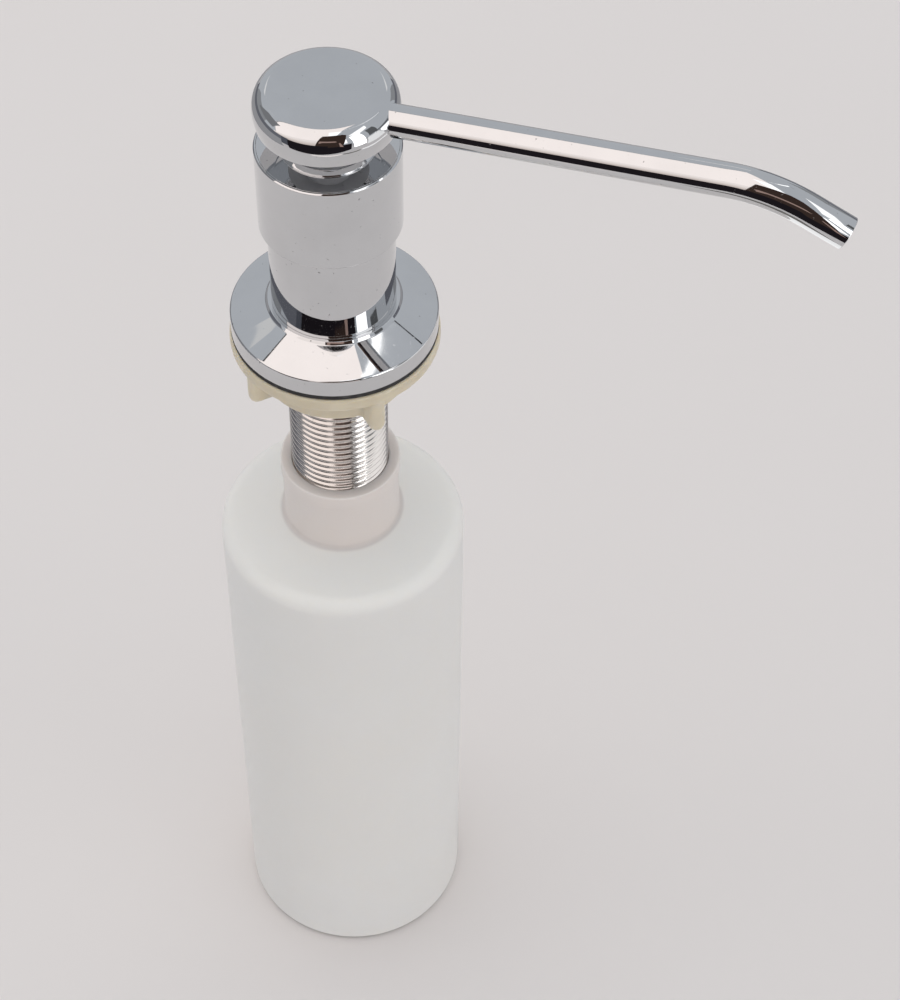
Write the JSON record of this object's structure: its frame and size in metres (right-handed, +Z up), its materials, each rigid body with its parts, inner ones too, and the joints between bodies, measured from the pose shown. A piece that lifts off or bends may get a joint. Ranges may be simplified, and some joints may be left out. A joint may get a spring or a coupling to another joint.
{
  "type": "soap pump dispenser",
  "caption": "Built-in kitchen soap dispenser: swivelling push head with a long bent spout, chromed body and flange, threaded shank, wing nut and screw-on bottle.",
  "frame": {"origin": "centre of the bottle's base, on the pump axis", "axes": "+Z up along the pump axis, +X the way the spout points at rest"},
  "size_m": [0.1564, 0.0662, 0.3291],
  "materials": {
    "chrome_body": "polished chrome plate",
    "chrome_head": "polished chrome plate",
    "chrome_spout": "polished chrome plate on brass tube",
    "chrome_flange": "polished chrome plate",
    "chrome_collar": "polished chrome plate",
    "plated_thread": "plated brass, thread",
    "ivory_plastic": "moulded, satin",
    "black_rubber": "matt",
    "bottle_plastic": "natural translucent polyethylene, satin",
    "white_plastic": "moulded",
    "clear_plastic": "natural translucent polypropylene",
    "steel_ball": "polished stainless steel",
    "spring_steel": "stainless steel wire"
  },
  "bodies": {
    "bottle": {"bottle": "bottle_plastic"},
    "deck_unit": {"threaded_shank": "plated_thread", "flange": "chrome_flange", "flange_gasket": "black_rubber", "body_housing": "chrome_body"},
    "nut": {"wing_nut": "ivory_plastic"},
    "pump_unit": {"pump_collar": "chrome_collar", "collar_o_ring": "black_rubber", "stem_guide": "white_plastic", "stem_wiper": "black_rubber", "pump_cylinder": "clear_plastic", "ball_cage": "white_plastic", "dip_tube": "clear_plastic", "return_spring": "spring_steel"},
    "pump_rod": {"pump_stem": "white_plastic", "piston": "white_plastic", "piston_seal": "black_rubber"},
    "head": {"head_cap": "chrome_head", "head_core": "white_plastic", "spout_tube": "chrome_spout"},
    "inlet_valve": {"inlet_ball": "steel_ball"},
    "outlet_valve": {"outlet_ball": "steel_ball"}
  },
  "joints": [
    {"name": "deck_unit_lift", "type": "slide", "parent": "bottle", "child": "deck_unit", "axis": [0, 0, 1], "range_m": [0, 0.21]},
    {"name": "nut_travel", "type": "slide", "parent": "deck_unit", "child": "nut", "axis": [0, 0, -1], "range_m": [0, 0.034]},
    {"name": "pump_lift", "type": "slide", "parent": "deck_unit", "child": "pump_unit", "axis": [0, 0, 1], "range_m": [0, 0.31]},
    {"name": "head_press", "type": "slide", "parent": "pump_unit", "child": "pump_rod", "axis": [0, 0, -1], "range_m": [0, 0.0065], "stiffness_N_per_m": 700, "springref_m": -0.008, "deforming": ["return_spring"]},
    {"name": "head_swivel", "type": "hinge", "parent": "pump_rod", "child": "head", "pos_m": [0, 0, 0.315], "axis": [0, 0, 1], "continuous": true},
    {"name": "inlet_ball_lift", "type": "slide", "parent": "pump_unit", "child": "inlet_valve", "axis": [0, 0, 1], "range_m": [0, 0.0015]},
    {"name": "outlet_ball_lift", "type": "slide", "parent": "pump_rod", "child": "outlet_valve", "axis": [0, 0, 1], "range_m": [0, 0.001]}
  ]
}
